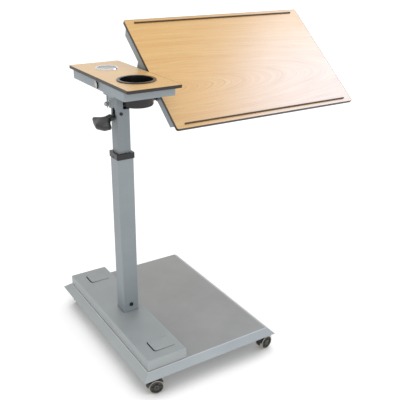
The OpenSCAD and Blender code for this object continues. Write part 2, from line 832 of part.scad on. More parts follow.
module cup_insert() {
    mouth_r = cup_mouth_d / 2;
    floor_r = cup_floor_d / 2;
    lip_r = cup_rim_h / 2;
    heel_r = cup_wall * 3;
    color("black") at_column() translate([cup_x, cup_y, side_top]) rotate_extrude() polygon(concat(
        [[0, cup_wall - cup_depth]],
        arc([floor_r - heel_r + cup_wall, heel_r - cup_depth], heel_r - cup_wall, -90, 0),
        arc([mouth_r + lip_r, lip_r], lip_r, 180, 90),
        arc([cup_rim_d / 2 - lip_r, lip_r], lip_r, 90, -90),
        [[mouth_r + cup_wall, 0]],
        arc([floor_r - heel_r + cup_wall, heel_r - cup_depth], heel_r, 0, -90),
        [[0, -cup_depth]]));
}

// Desk, drawn level with its shaft at the origin
module desk_plate(low_n) {
    translate([desk_x + desk_w / 2, desk_u0 + desk_d / 2, low_n]) children();
}

module desk_board() {
    color("burlywood") at_desk() desk_plate(board_low_n) board_blank(desk_w, desk_d, band_t);
}

module desk_edge_band() {
    color("black") at_desk() desk_plate(board_low_n) edge_band(desk_w, desk_d);
}

// Strip with a half-round top edge
module ledge(u) {
    translate([desk_x + ledge_end, u, shaft_below_top]) rotate([90, 0, 90])
        linear_extrude(desk_w - 2 * ledge_end) {
            translate([-ledge_t / 2, 0]) square([ledge_t, ledge_h - ledge_t / 2]);
            translate([0, ledge_h - ledge_t / 2]) circle(d = ledge_t);
        }
}

module lower_ledge() {
    color("black") at_desk() ledge(desk_u0 + ledge_inset);
}

module upper_ledge() {
    color("black") at_desk() ledge(desk_u0 + desk_d - ledge_inset);
}

// Folded channel under the board, open side facing the middle of the desk, with
// a saddle for the torsion tube
module rail(x, side) {
    slant = rail_h * rail_slant_share;
    translate([x, 0, 0]) mirror([side > 0 ? 0 : 1, 0, 0]) difference() {
        translate([0, desk_u0 + rail_end, rail_low_n]) difference() {
            rotate([90, 0, 90]) linear_extrude(rail_w)
                polygon([[slant, 0], [0, rail_h], [rail_len, rail_h], [rail_len - slant, 0]]);
            translate([rail_t, -over, rail_t]) cube([rail_w, rail_len + 2 * over, rail_h - 2 * rail_t]);
        }
        translate([-over, 0, 0]) rotate([0, 90, 0])
            cylinder(rail_w + 2 * over, d = torsion_d + 2 * hole_fit);
    }
}

module left_rail() {
    color("slategray") at_desk() rail(desk_x + rail_inset, 1);
}

module right_rail() {
    color("slategray") at_desk() rail(desk_right - rail_inset, -1);
}

// Side plate below a rail, with a round boss in the rail's saddle that carries
// the torsion tube
module gusset(x, hole_d) {
    translate([x, desk_u0, 0]) rotate([90, 0, 90]) linear_extrude(gusset_t) difference() {
        union() {
            polygon([[desk_d * gusset_share[0], rail_low_n], [desk_d * gusset_share[1], gusset_low_n],
                [desk_d * gusset_share[2], gusset_low_n], [desk_d * gusset_share[3], rail_low_n]]);
            translate([shaft_from_edge, 0]) circle(d = torsion_d);
        }
        if (hole_d > 0) translate([shaft_from_edge, 0]) circle(d = hole_d);
    }
}

module left_gusset() {
    color("slategray") at_desk() gusset(desk_x + rail_inset, shaft_d + 2 * run_fit);
}

module right_gusset() {
    color("slategray") at_desk() gusset(desk_right - rail_inset - gusset_t, 0);
}

module torsion_tube() {
    len = torsion_x1 - torsion_x0;
    color("slategray") at_desk() translate([torsion_x0, 0, 0]) rotate([0, 90, 0]) difference() {
        cylinder(len, d = torsion_d);
        translate([0, 0, -over]) cylinder(len + 2 * over, d = torsion_d - 2 * torsion_wall);
    }
}

// Round bar with a threaded stud at its left end and two collars that centre it
// in the torsion tube
module tilt_shaft() {
    collar_len = shaft_d;
    stud_len = washer_t + nut_t - hole_fit;
    color("silver") at_desk() rotate([0, 90, 0]) {
        translate([0, 0, shoulder_x])
            cylinder(torsion_x0 + shaft_in_tube - shoulder_x, d = shaft_d);
        translate([0, 0, shoulder_x - stud_len]) cylinder(stud_len + over, d = stud_d);
        for (x = [torsion_x0 + collar_len, torsion_x0 + shaft_in_tube - 2 * collar_len])
            translate([0, 0, x]) cylinder(collar_len, d = torsion_d - 2 * torsion_wall - 2 * run_fit);
    }
}

module shaft_spacer() {
    from = right_cheek_x + plate_t + bush_flange + slide_gap;
    color("black") at_desk() translate([from, 0, 0]) rotate([0, 90, 0]) difference() {
        cylinder(desk_x + rail_inset - from, d = shaft_d * 1.5);
        translate([0, 0, -over]) cylinder(desk_x + desk_gap, d = shaft_d + 2 * run_fit);
    }
}

// Washer and domed nut on the shaft's stud
module shaft_nut() {
    color("silver") at_desk() translate([shoulder_x, 0, 0]) rotate([0, -90, 0]) difference() {
        union() {
            cylinder(washer_t, d = nut_d * 1.15);
            translate([0, 0, washer_t]) hex_head(nut_d, nut_t);
            translate([0, 0, washer_t + nut_t]) intersection() {
                sphere(dome_r);
                cylinder(dome_r, r = dome_r);
            }
        }
        translate([0, 0, -over]) cylinder(nut_t + washer_t + over, d = stud_d);
    }
}

module desk_screws() {
    color("silver") at_desk()
        for (x = [desk_x + rail_inset + rail_w * 0.6, desk_right - rail_inset - rail_w * 0.6],
            s = desk_screw_share)
            translate([x, desk_u0 + rail_end + rail_len * s, board_low_n - rail_t - side_screw_d / 3])
                cylinder(side_screw_d / 3, d = side_screw_d * 2);
}

// Casters
module at_caster(x, y, swing) {
    at_column() translate([caster_x[x], y * caster_y, 0]) rotate([0, 0, swing]) children();
}

// Hood over twin wheels: a fender, a mid web that carries the axle, and a boss
// round the stem
module caster_fork() {
    web_r = hood_r - hood_t / 2;
    difference() {
        union() {
            translate([trail, 0, wheel_r]) rotate([90, 0, 0]) rotate([0, 0, hood_from])
                rotate_extrude(angle = hood_to - hood_from)
                translate([wheel_r + hood_gap, -hood_w / 2]) square([hood_t, hood_w]);
            difference() {
                union() {
                    translate([trail, 0, wheel_r]) rotate([90, 0, 0])
                        linear_extrude(web_t, center = true) difference() {
                            circle(web_r);
                            rotate(hood_from - 90) translate([hub_d / 2, -web_r]) square(2 * web_r);
                            rotate(-90) translate([hub_d / 2, -web_r]) square(2 * web_r);
                        }
                    translate([0, 0, wheel_r]) cylinder(boss_top - wheel_r, d = boss_d);
                }
                for (side = [-1, 1])
                    translate([trail, side * (web_t + wheel_w + 2 * wheel_gap) / 2, wheel_r])
                        rotate([90, 0, 0]) cylinder(wheel_w + 2 * wheel_gap, r = web_r, center = true);
            }
        }
        translate([trail, 0, wheel_r]) rotate([90, 0, 0])
            cylinder(web_t + 2 * over, d = axle_d + 2 * run_fit, center = true);
        translate([0, 0, boss_top - stem_seat - run_fit])
            cylinder(stem_seat + over, d = stem_d + 2 * run_fit);
    }
}

module caster_axle() {
    translate([trail, 0, wheel_r]) rotate([90, 0, 0]) cylinder(hood_w - wheel_gap, d = axle_d, center = true);
}

// One wheel of a pair: dished outer face, boss round the axle
module wheel_half() {
    core_r = wheel_r - tread_t;
    rotate_extrude() polygon([[axle_d / 2 + run_fit, 0], [core_r, 0], [core_r, wheel_w - tread_t / 2],
        [core_r - tread_t, wheel_w - tread_t / 2], [hub_d / 2 + tread_t, wheel_w - tread_t],
        [hub_d / 2, wheel_w - tread_t / 2], [hub_d / 2 - tread_t / 2, wheel_w],
        [axle_d / 2 + run_fit, wheel_w]]);
}

module tread_half() {
    core_r = wheel_r - tread_t;
    rotate_extrude() polygon([[core_r, 0], [wheel_r - tread_t / 3, 0], [wheel_r, tread_t / 2],
        [wheel_r, wheel_w - tread_t], [wheel_r - tread_t / 3, wheel_w - tread_t / 3],
        [core_r, wheel_w - tread_t / 3]]);
}

module wheel_pair() {
    translate([trail, 0, wheel_r]) for (side = [0, 1]) rotate([90, 0, 0]) mirror([0, 0, side])
        translate([0, 0, web_t / 2 + wheel_gap]) children();
}

module front_left_fork() { color("black") at_caster(0, -1, left_swing) caster_fork(); }
module front_right_fork() { color("black") at_caster(1, -1, right_swing) caster_fork(); }
module back_left_fork() { color("black") at_caster(0, 1, -left_swing) caster_fork(); }
module back_right_fork() { color("black") at_caster(1, 1, -right_swing) caster_fork(); }
module front_left_axle() { color("silver") at_caster(0, -1, left_swing) caster_axle(); }
module front_right_axle() { color("silver") at_caster(1, -1, right_swing) caster_axle(); }
module back_left_axle() { color("silver") at_caster(0, 1, -left_swing) caster_axle(); }
module back_right_axle() { color("silver") at_caster(1, 1, -right_swing) caster_axle(); }
module front_left_wheels() { color("dimgray") at_caster(0, -1, left_swing) wheel_pair() wheel_half(); }
module front_left_treads() { color("darkkhaki") at_caster(0, -1, left_swing) wheel_pair() tread_half(); }
module front_right_wheels() { color("dimgray") at_caster(1, -1, right_swing) wheel_pair() wheel_half(); }
module front_right_treads() { color("darkkhaki") at_caster(1, -1, right_swing) wheel_pair() tread_half(); }
module back_left_wheels() { color("dimgray") at_caster(0, 1, -left_swing) wheel_pair() wheel_half(); }
module back_left_treads() { color("darkkhaki") at_caster(0, 1, -left_swing) wheel_pair() tread_half(); }
module back_right_wheels() { color("dimgray") at_caster(1, 1, -right_swing) wheel_pair() wheel_half(); }
module back_right_treads() { color("darkkhaki") at_caster(1, 1, -right_swing) wheel_pair() tread_half(); }

base_tray();
caster_pads();
caster_stems();
plinth_cover();
lower_tube();
foot_plate();
foot_bolts();
column_collar();
collar_screw();
spring_cylinder();
anchor_bolt();
upper_tube();
guide_bush();
spring_rod();
rod_seat();
lever_pin();
head_bracket();
shaft_bushes();
side_pan();
side_board();
side_edge_band();
side_screws();
grommet_ring();
port_bush();
grommet_lid();
cup_insert();
release_lever();
lever_grip();
release_pin();
desk_board();
desk_edge_band();
lower_ledge();
upper_ledge();
left_rail();
right_rail();
left_gusset();
right_gusset();
torsion_tube();
tilt_shaft();
shaft_spacer();
shaft_nut();
desk_screws();
front_left_fork();
front_right_fork();
back_left_fork();
back_right_fork();
front_left_axle();
front_right_axle();
back_left_axle();
back_right_axle();
front_left_wheels();
front_right_wheels();
back_left_wheels();
back_right_wheels();
front_left_treads();
front_right_treads();
back_left_treads();
back_right_treads();
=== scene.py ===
"""Finishes and fine forms of a mobile work table with a tilting desk top.

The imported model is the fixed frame. Each operator dresses one group of its
pieces: sheet edges are eased, moulded and turned pieces get their full form,
and every surface gets the finish that its maker would name.
"""

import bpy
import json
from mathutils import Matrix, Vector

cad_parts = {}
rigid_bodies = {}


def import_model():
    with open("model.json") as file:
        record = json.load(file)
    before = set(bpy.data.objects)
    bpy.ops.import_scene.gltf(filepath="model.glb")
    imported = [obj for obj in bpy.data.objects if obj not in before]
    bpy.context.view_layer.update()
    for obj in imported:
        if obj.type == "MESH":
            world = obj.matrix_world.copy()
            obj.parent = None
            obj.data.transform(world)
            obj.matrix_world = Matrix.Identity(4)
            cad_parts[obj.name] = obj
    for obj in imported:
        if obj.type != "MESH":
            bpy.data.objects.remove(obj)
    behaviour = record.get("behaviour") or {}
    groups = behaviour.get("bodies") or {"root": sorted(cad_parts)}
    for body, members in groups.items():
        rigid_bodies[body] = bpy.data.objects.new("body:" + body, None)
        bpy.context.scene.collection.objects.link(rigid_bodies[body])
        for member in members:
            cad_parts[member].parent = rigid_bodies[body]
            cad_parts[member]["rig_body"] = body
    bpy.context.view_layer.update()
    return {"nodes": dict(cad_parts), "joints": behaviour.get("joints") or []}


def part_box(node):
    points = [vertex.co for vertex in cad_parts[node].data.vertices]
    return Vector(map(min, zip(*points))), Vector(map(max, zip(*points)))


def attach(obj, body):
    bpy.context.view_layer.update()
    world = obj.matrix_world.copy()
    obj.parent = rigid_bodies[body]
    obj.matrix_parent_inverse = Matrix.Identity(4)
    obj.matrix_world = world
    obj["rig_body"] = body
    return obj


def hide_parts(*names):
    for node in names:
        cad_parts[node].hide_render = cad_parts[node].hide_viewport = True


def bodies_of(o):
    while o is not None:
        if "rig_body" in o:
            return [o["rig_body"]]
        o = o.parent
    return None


bl_info = {
    "name": "Tilting work table",
    "version": (1, 0, 0),
    "blender": (4, 5, 0),
    "location": "View3D > Sidebar > Work table",
    "description": "Dresses the packed work table and sets it in a studio",
    "category": "Add Mesh",
}

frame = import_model()

import json
from math import cos, pi, radians, sin

import bmesh
import bpy
from bpy.props import FloatProperty, FloatVectorProperty, IntProperty, PointerProperty
from mathutils import Matrix, Vector

MM = 0.001
JOINTS = {joint["name"]: joint for joint in frame["joints"]}
CORNERS = ("front_left", "front_right", "back_left", "back_right")
# Nodes with a flat face that goes round a hole.
RINGS = ("desk_edge_band", "side_edge_band", "column_collar", "plinth_cover", "shaft_nut")

MERGE = 0.002 * MM  # points closer than this are one
FLAT_ANGLE = radians(0.4)  # faces that meet at less than this lie in one plane
EASED_ANGLE = radians(32)  # edges sharper than this are rounded
CRISP_ANGLE = radians(42)  # edges sharper than this stay crisp in the shading
FACING = 0.9  # a face looks along an axis when its normal reaches this far along it
TURNED_STEPS = 72  # facets round a turned piece
BEAD_SIDES = 10  # facets round a weld bead
RIPPLE_PITCH = 0.9  # from one ripple of a weld to the next, in shares of the bead's radius
RIPPLE_DEPTH = 0.12  # how far a ripple stands out, in shares of the bead's radius

BLACK = (0, 0, 0, 1)
WHITE = (1, 1, 1, 1)


def linear(code):
    """Turns an sRGB hex code into the linear RGBA that the shaders take."""
    parts = [int(code[start:start + 2], 16) / 255 for start in (1, 3, 5)]
    return (*[part / 12.92 if part <= 0.04045 else ((part + 0.055) / 1.055) ** 2.4
              for part in parts], 1.0)


def colour(name, description, code):
    """A colour setting with an sRGB hex code as its default."""
    return FloatVectorProperty(
        name=name, description=description, subtype="COLOR", size=4, min=0, max=1,
        default=linear(code))


def length(name, description, millimetres):
    """A length setting, given in millimetres and stored in metres."""
    return FloatProperty(
        name=name, description=description, subtype="DISTANCE", unit="LENGTH", min=0,
        default=millimetres * MM)


def turn(name, description, degrees):
    """An angle setting, given in degrees and stored in radians."""
    return FloatProperty(
        name=name, description=description, subtype="ANGLE", default=radians(degrees))


def power(name, description, watts):
    """The power setting of a lamp."""
    return FloatProperty(
        name=name, description=description, subtype="POWER", unit="POWER", min=0, default=watts)


class TableFinishes(bpy.types.PropertyGroup):
    """Colours of the table's finishes."""

    column_coat: colour(
        "Column coat", "Silver-grey powder coat of the column, pan and desk frame", "#90989C")
    inner_coat: colour("Inner coat", "Darker powder coat of the sliding tube", "#838A8E")
    base_coat: colour("Base coat", "Light grey powder coat of the base tray", "#A1A1A0")
    # Also laid on the base tray's skirts, where its bluer tone against the deck's grey paints a
    # difference of light on one sheet.
    cover_coat: colour("Cover coat", "Silver-grey powder coat of the base's cover", "#A3A8A9")
    # Painted highlight: this paler tone on the tray's folds stands for the light that the folds
    # catch.
    fold_highlight: colour("Fold coat", "The same coat where the tray's folds are rubbed", "#C6C8C8")
    beech_pale: colour("Pale beech", "Lightest tone of the printed beech", "#EFCE86")
    beech_mid: colour("Mid beech", "Main tone of the printed beech", "#E8B569")
    beech_dark: colour("Dark beech", "Tone of the grain lines in the printed beech", "#BC8A46")
    backer: colour("Backer", "Brown balancing sheet under the boards", "#8A7358")
    band: colour("Edge band", "Black-brown edge band", "#2B2522")
    ledge: colour("Ledges", "Dark brown of the two ledges on the desk top", "#4A3423")
    moulding: colour("Moulding", "Black moulded plastic", "#171718")
    nylon: colour("Nylon", "Natural nylon of the guides and bushes", "#DDD9CC")
    lid: colour("Grommet lid", "Grey moulding of the cable lid and port bush", "#C2BFBA")
    tread: colour("Tread", "Grey-beige tread of the casters", "#BDB6A4")
    wheel: colour("Wheel", "Dark grey nylon of the wheel discs", "#4A4947")
    chrome: colour("Chrome", "Bright chrome of the cable ring and the spring's rod", "#D9DBDE")
    zinc: colour("Zinc", "Zinc plate of the screws, stems and shaft", "#B9BCBE")
    blackened: colour("Blackened steel", "Blackened steel of the lever and its pin", "#3A3B3D")


class TableEdges(bpy.types.PropertyGroup):
    """Sizes of eased edges, weld beads and small details."""

    sheet: length("Sheet edge", "Radius of the painted sheet steel's cut edges", 0.45)
    moulded: length("Moulded edge", "Radius of the moulded pieces' edges", 0.9)
    band: length("Band edge", "Radius of the edge band's long edges", 0.8)
    turned: length("Turned edge", "Radius of the small metal pieces' edges", 0.25)
    weld: length("Weld bead", "Radius of the weld beads", 2.2)
    steps: IntProperty(
        name="Edge steps", description="Facets across an eased edge that shows", min=1, max=6,
        default=3)
    fine_steps: IntProperty(
        name="Fine edge steps", description="Facets across an eased edge of a small piece",
        min=1, max=6, default=2)


class TableStage(bpy.types.PropertyGroup):
    """Camera, floor and studio light."""

    camera_place: FloatVectorProperty(
        name="Camera place", description="Where the camera stands", subtype="XYZ", unit="LENGTH",
        default=(-1.12777, -1.61204, 1.25464))
    azimuth: turn("Azimuth", "Turn of the view from +Y towards +X", 32.651)
    pitch: turn("Pitch", "How far the view looks down", 23.005)
    roll: turn("Roll", "Lean of the camera about its view", 0.695)
    lens: FloatProperty(
        name="Lens", description="Focal length", subtype="DISTANCE_CAMERA", default=56.04)
    sensor: FloatProperty(
        name="Sensor", description="Width of the sensor", subtype="DISTANCE_CAMERA", default=36)
    sky: FloatProperty(
        name="Sky", description="Strength of the even light all round", min=0, default=0.86)
    key_power: power("Key", "Power of the softbox to the right", 4.0)
    fill_power: power("Fill", "Power of the wide light in front", 9.0)
    sheen_power: power("Sheen", "Power of the panel that is seen only in glossy faces", 26.0)
    sheen_tone: colour("Sheen tone", "Cool tone of that panel", "#92C6FF")
    floor: colour("Floor", "Colour of the studio floor", "#F9F9F9")
    glow: FloatProperty(
        name="Glow", description="Light that the floor itself gives off", min=0, default=0.34)
    contact: length("Contact shade", "How far off the table still shades the floor", 150)


def add(tree, kind, inputs=None, stops=(), **settings):
    """Adds a node with its settings, its ramp's stops, and its inputs' values or links."""
    made = tree.nodes.new(kind)
    for name, value in settings.items():
        setattr(made, name, value)
    for index, (place, tone) in enumerate(stops):
        marks = made.color_ramp.elements
        stop = marks[index] if index < len(marks) else marks.new(place)
        stop.position, stop.color = place, tone
    for name, value in (inputs or {}).items():
        if isinstance(value, bpy.types.NodeSocket):
            tree.links.new(value, made.inputs[name])
        else:
            made.inputs[name].default_value = value
    return made


def start_finish(name, **sockets):
    """A new material: returns it with its tree and the object's own coordinates."""
    made = bpy.data.materials.new(name)
    made.use_nodes = True
    for socket, value in sockets.items():
        shader_of(made.node_tree).inputs[socket.replace("_", " ")].default_value = value
    return made, made.node_tree, add(made.node_tree, "ShaderNodeTexCoord").outputs["Object"]


def shader_of(tree):
    """The shader that a new material starts with."""
    return tree.nodes["Principled BSDF"]


def per_metre(millimetres):
    """Scale of a pattern whose cells are this many millimetres wide."""
    return 1 / (millimetres * MM)


def scaled(tone, factor):
    """The same tone, lighter or darker."""
    return (*[min(1.0, part * factor) for part in tone[:3]], 1.0)


def mapped(tree, place, scale, location=(0, 0, 0)):
    """Coordinates that are scaled and shifted."""
    return add(tree, "ShaderNodeMapping",
               {"Vector": place, "Location": location, "Scale": scale}).outputs["Vector"]


def noise(tree, place, detail, cell_mm=None):
    """Soft noise with cells one unit wide, or as many millimetres as stated."""
    return add(tree, "ShaderNodeTexNoise",
               {"Vector": place, "Scale": per_metre(cell_mm) if cell_mm else 1.0,
                "Detail": detail}).outputs["Fac"]


def ramp(tree, factor, low, high):
    """A tone that a factor picks between two stops, each a place and its tone."""
    return add(tree, "ShaderNodeValToRGB", {"Fac": factor}, stops=(low, high)).outputs["Color"]


def spread(tree, factor, low, high):
    """A value that follows a factor from low to high."""
    return add(tree, "ShaderNodeMapRange",
               {"Value": factor, "To Min": low, "To Max": high}).outputs["Result"]


def blend(tree, mask, under, over, mode="MIX"):
    """One tone laid over another as far as a mask says."""
    return add(tree, "ShaderNodeMix", {0: mask, 6: under, 7: over},
               data_type="RGBA", blend_type=mode).outputs[2]


def edge_wear_and_highlight(tree, body, pale_edges, start, full, strength):
    """Lays a paler tone along the edges, where the face bulges from start to full: wear, and on the
    powder coat also a painted highlight.
    """
    bulge = add(tree, "ShaderNodeNewGeometry").outputs["Pointiness"]
    mask = ramp(tree, bulge, (start, BLACK), (full, (strength, strength, strength, 1)))
    return blend(tree, mask, body, pale_edges)


def wire(tree, tone, rough, height, strength, depth_mm):
    """Joins a finish's tone, roughness and relief to its shader."""
    relief = add(tree, "ShaderNodeBump",
                 {"Height": height, "Strength": strength, "Distance": depth_mm * MM})
    inputs = shader_of(tree).inputs
    tree.links.new(tone, inputs["Base Color"])
    tree.links.new(relief.outputs["Normal"], inputs["Normal"])
    if rough:
        tree.links.new(rough, inputs["Roughness"])


def powder_coat(name, tone):
    """Polyester powder coat on steel, sprayed and baked: an even silver grey with
    fine orange peel, a faint metallic flake, and a paler tone along the edges that
    is partly wear and partly a painted highlight."""
    made, tree, place = start_finish(name, Metallic=0.25, IOR=1.5)
    drift = noise(tree, place, detail=3.0, cell_mm=110)
    flake = noise(tree, place, detail=2.0, cell_mm=1.1)
    peel = noise(tree, place, detail=2.0, cell_mm=2.4)
    base = ramp(tree, drift, (0.35, scaled(tone, 0.95)), (0.65, scaled(tone, 1.04)))
    flaked = ramp(tree, flake, (0.3, scaled(WHITE, 0.93)), (0.7, WHITE))
    coat = blend(tree, 1.0, base, flaked, mode="MULTIPLY")
    # Paler edges: partly wear, partly a painted highlight that lets the edges and the tray's folds
    # catch light.
    pale_edges = edge_wear_and_highlight(tree, coat, scaled(tone, 1.35), start=0.51, full=0.58, strength=0.35)
    wire(tree, pale_edges, spread(tree, drift, 0.40, 0.50), peel, strength=0.18, depth_mm=0.12)
    return made


def beech_laminate(name, finishes, centre, tilt, heart, flat=0.13):
    """High-pressure laminate printed with beech and pressed to a satin face: warm
    flat-sawn figure with one pointed arch round the heart, long straight grain and
    short brown flecks. The flecks are longer than in life, so that they show. The
    heart is the middle of the arch's rings, which are 1 / flat times as long as wide."""
    made, tree, place = start_finish(name, IOR=1.52, Coat_Weight=0.6, Coat_Roughness=0.29)
    lifted = add(tree, "ShaderNodeVectorMath", {0: place, 1: centre}, operation="SUBTRACT")
    level = add(tree, "ShaderNodeMapping",
                {"Vector": lifted.outputs["Vector"], "Rotation": (-tilt, 0, 0)}).outputs["Vector"]

    def stretched(source, along, across):
        """The board's coordinates with one unit for this many millimetres."""
        return mapped(tree, source, (per_metre(along), per_metre(across), 1))

    def lines(source, along, across, low, high, weight):
        """Long noise cells as a mask between two levels."""
        cells = noise(tree, stretched(source, along, across), detail=3.0)
        return add(tree, "ShaderNodeMapRange", {
            "Value": cells, "From Min": low, "From Max": high, "To Max": weight
        }).outputs["Result"]

    most_sway = 34 * MM
    wander = add(tree, "ShaderNodeTexNoise",
                 {"Vector": stretched(level, along=380, across=80), "Scale": 1.0, "Detail": 3.0})
    sway = add(tree, "ShaderNodeVectorMath",
               {0: wander.outputs["Color"], 1: (0.0, most_sway, 0.0)}, operation="MULTIPLY")
    board = add(tree, "ShaderNodeVectorMath",
                {0: level, 1: sway.outputs["Vector"]}).outputs["Vector"]

    round_heart = mapped(tree, board, (flat, 1.0, 0), location=(-heart[0] * flat, -heart[1], 0))
    ring = add(tree, "ShaderNodeVectorMath", {0: round_heart}, operation="LENGTH").outputs["Value"]
    along_board = add(tree, "ShaderNodeSeparateXYZ", {"Vector": board}).outputs["X"]
    figure = add(tree, "ShaderNodeCombineXYZ", {"X": along_board, "Y": ring}).outputs["Vector"]

    bands = lines(figure, along=1100, across=20, low=0.38, high=0.64, weight=0.38)
    veins = lines(figure, along=500, across=3.6, low=0.48, high=0.78, weight=0.26)
    hairs = lines(figure, along=150, across=1.5, low=0.48, high=0.76, weight=0.50)
    fleck = add(tree, "ShaderNodeTexVoronoi",
                {"Vector": stretched(board, along=13, across=1.7), "Scale": 1.0}
                ).outputs["Distance"]
    flecks = add(tree, "ShaderNodeMapRange", {
        "Value": fleck, "From Min": 0.10, "From Max": 0.26, "To Min": 0.30, "To Max": 0.0
    }).outputs["Result"]
    printed = blend(tree, bands, finishes.beech_mid, finishes.beech_pale)
    for mask, ink in ((veins, finishes.beech_dark), (hairs, finishes.beech_dark),
                      (flecks, scaled(finishes.beech_dark, 0.8))):
        printed = blend(tree, mask, printed, ink)
    wire(tree, printed, spread(tree, hairs, 0.36, 0.50), fleck, strength=0.10, depth_mm=0.05)
    return made


def grained_plastic(name, tone, rough, grain_mm, depth):
    """Thermoplastic from a spark-eroded mould: one even colour, a fine grain that
    breaks up its sheen, and slightly paler edges where hands and feet wear it."""
    made, tree, place = start_finish(name, IOR=1.49)
    clouds = noise(tree, place, detail=4.0, cell_mm=34)
    body = ramp(tree, clouds, (0.3, scaled(tone, 0.88)), (0.7, scaled(tone, 1.12)))
    pale_edges = edge_wear_and_highlight(tree, body, scaled(tone, 1.9), start=0.52, full=0.62, strength=0.3)
    grain = add(tree, "ShaderNodeTexVoronoi", {"Vector": place, "Scale": per_metre(grain_mm)})
    wire(tree, pale_edges, spread(tree, clouds, rough - 0.05, rough + 0.06), grain.outputs["Distance"],
         strength=depth, depth_mm=0.08)
    return made


def plated_metal(name, tone, rough, streak_mm):
    """Plated or blackened steel: drawn or turned before plating, so that faint
    lines cross its sheen, with cloudy patches in the plating."""
    made, tree, place = start_finish(name, Metallic=1.0)
    clouds = noise(tree, place, detail=5.0, cell_mm=12)
    body = ramp(tree, clouds, (0.3, scaled(tone, 0.86)), (0.7, scaled(tone, 1.06)))
    drawn = noise(tree, mapped(tree, place, (1.0, 1.0, 0.08)), detail=2.0, cell_mm=streak_mm)
    wire(tree, body, spread(tree, clouds, rough * 0.8, rough * 1.25), drawn, strength=0.08,
         depth_mm=0.03)
    return made


def board_backer(name, tone):
    """Kraft balancing sheet glued under the boards: dull brown paper with long,
    faint rollers' streaks and specks of fibre."""
    made, tree, place = start_finish(name, IOR=1.45, Roughness=0.7)
    streaks = mapped(tree, place, (per_metre(60), per_metre(3), per_metre(3)))
    fibre = noise(tree, streaks, detail=5.0)
    body = ramp(tree, fibre, (0.35, scaled(tone, 0.85)), (0.65, scaled(tone, 1.1)))
    wire(tree, body, None, fibre, strength=0.15, depth_mm=0.05)
    return made


def finish_of(name):
    """A finish that the first operator has made."""
    return bpy.data.materials[name]


def body_of(node):
    """The name of the body that a CAD node rides on."""
    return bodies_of(frame["nodes"][node])[0]


def centre_of(node):
    """The middle of a CAD node's box."""
    low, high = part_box(node)
    return (low + high) / 2


def desk_slope():
    """The desk top's slope as pictured, from one of its ledges to the other."""
    rise = centre_of("upper_ledge") - centre_of("lower_ledge")
    return Vector((rise.y, rise.z)).angle_signed(Vector((1, 0)))


def desk_up():
    """The direction that the desk top's face looks."""
    slope = desk_slope()
    return Vector((0, -sin(slope), cos(slope)))


def make_piece(form, name, body, finishes, nodes=(), outward=True):
    """Turns a bmesh into a finished piece that rides on a body and stands for CAD
    nodes. Its shading is smooth but for the crisp edges."""
    if outward:
        bmesh.ops.recalc_face_normals(form, faces=form.faces)
    mesh = bpy.data.meshes.new(name)
    form.to_mesh(mesh)
    form.free()
    for finish in finishes:
        mesh.materials.append(finish_of(finish))
    mesh.polygons.foreach_set("use_smooth", [True] * len(mesh.polygons))
    mesh.set_sharp_from_angle(angle=CRISP_ANGLE)
    piece = bpy.data.objects.new(name, mesh)
    bpy.context.scene.collection.objects.link(piece)
    even = piece.modifiers.new("Even shading", "WEIGHTED_NORMAL")
    even.keep_sharp = True
    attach(piece, body)
    if nodes:
        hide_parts(*nodes)
    return piece


def merged_copy(node):
    """A bmesh of a CAD node with its doubled points merged and its flat faces whole. A
    flat ring can't be one face, so a face that goes round a hole is cut into quads."""
    form = bmesh.new()
    form.from_mesh(frame["nodes"][node].data)
    for face in form.faces:
        face.material_index = 0
    bmesh.ops.remove_doubles(form, verts=form.verts, dist=MERGE)
    if node in RINGS:
        bmesh.ops.join_triangles(form, faces=form.faces, angle_face_threshold=FLAT_ANGLE,
                                 angle_shape_threshold=pi)
    else:
        bmesh.ops.dissolve_limit(form, angle_limit=FLAT_ANGLE, verts=form.verts, edges=form.edges)
    return form


def ease(form, radius, steps):
    """Rounds every sharp edge."""
    sharp = [edge for edge in form.edges
             if len(edge.link_faces) == 2 and edge.calc_face_angle(0) > EASED_ANGLE]
    bmesh.ops.bevel(form, geom=sharp, offset=radius, segments=steps, profile=0.5, affect="EDGES",
                    material=-1)


def eased_copy(node, radius, finish, steps):
    """A piece that stands for a CAD node: the same solid with its edges eased."""
    form = merged_copy(node)
    ease(form, radius, steps)
    return make_piece(form, node + "_eased", body_of(node), [finish], [node],
                      outward=False)


def dress_node(node, finish):
    """Gives a CAD node its finish and leaves its shape alone."""
    item = frame["nodes"][node]
    if not item.material_slots:
        item.data.materials.append(None)
    for holder in item.material_slots:
        holder.material = finish_of(finish)


def board_piece(node, finish, up):
    """A board with its laminate face, and its backer underneath."""
    form = merged_copy(node)
    form.normal_update()
    for face in form.faces:
        face.material_index = 1 if face.normal.dot(up) < -FACING else 0
    return make_piece(form, node + "_faced", body_of(node), [finish, "kraft_backer"],
                      [node], outward=False)


def spin(form, parts, steps):
    """Sweeps points and edges once round Z."""
    bmesh.ops.spin(form, geom=parts, cent=(0, 0, 0), axis=(0, 0, 1), dvec=(0, 0, 0),
                   angle=2 * pi, steps=steps, use_merge=True)


def revolve(form, profile):
    """Turns a closed or open profile of (radius, height) points about Z."""
    points = [form.verts.new((radius, 0, height)) for radius, height in profile]
    edges = [form.edges.new(pair) for pair in zip(points, points[1:])]
    spin(form, points + edges, TURNED_STEPS)
    bmesh.ops.remove_doubles(form, verts=form.verts, dist=MERGE)
    bmesh.ops.recalc_face_normals(form, faces=form.faces)


def moved(form, matrix):
    """Moves a whole bmesh."""
    bmesh.ops.transform(form, matrix=matrix, verts=form.verts)
    return form


def joined(form, extra):
    """Adds one bmesh to another and frees it."""
    carrier = bpy.data.meshes.new("carrier")
    extra.to_mesh(carrier)
    extra.free()
    form.from_mesh(carrier)
    bpy.data.meshes.remove(carrier)
    return form


def facing(axis, place):
    """A frame whose Z lies along an axis, standing at a place."""
    return Matrix.Translation(place) @ Vector(axis).to_track_quat("Z", "Y").to_matrix().to_4x4()


def corners_of(faces):
    """The points round some faces."""
    return list({corner for face in faces for corner in face.verts})


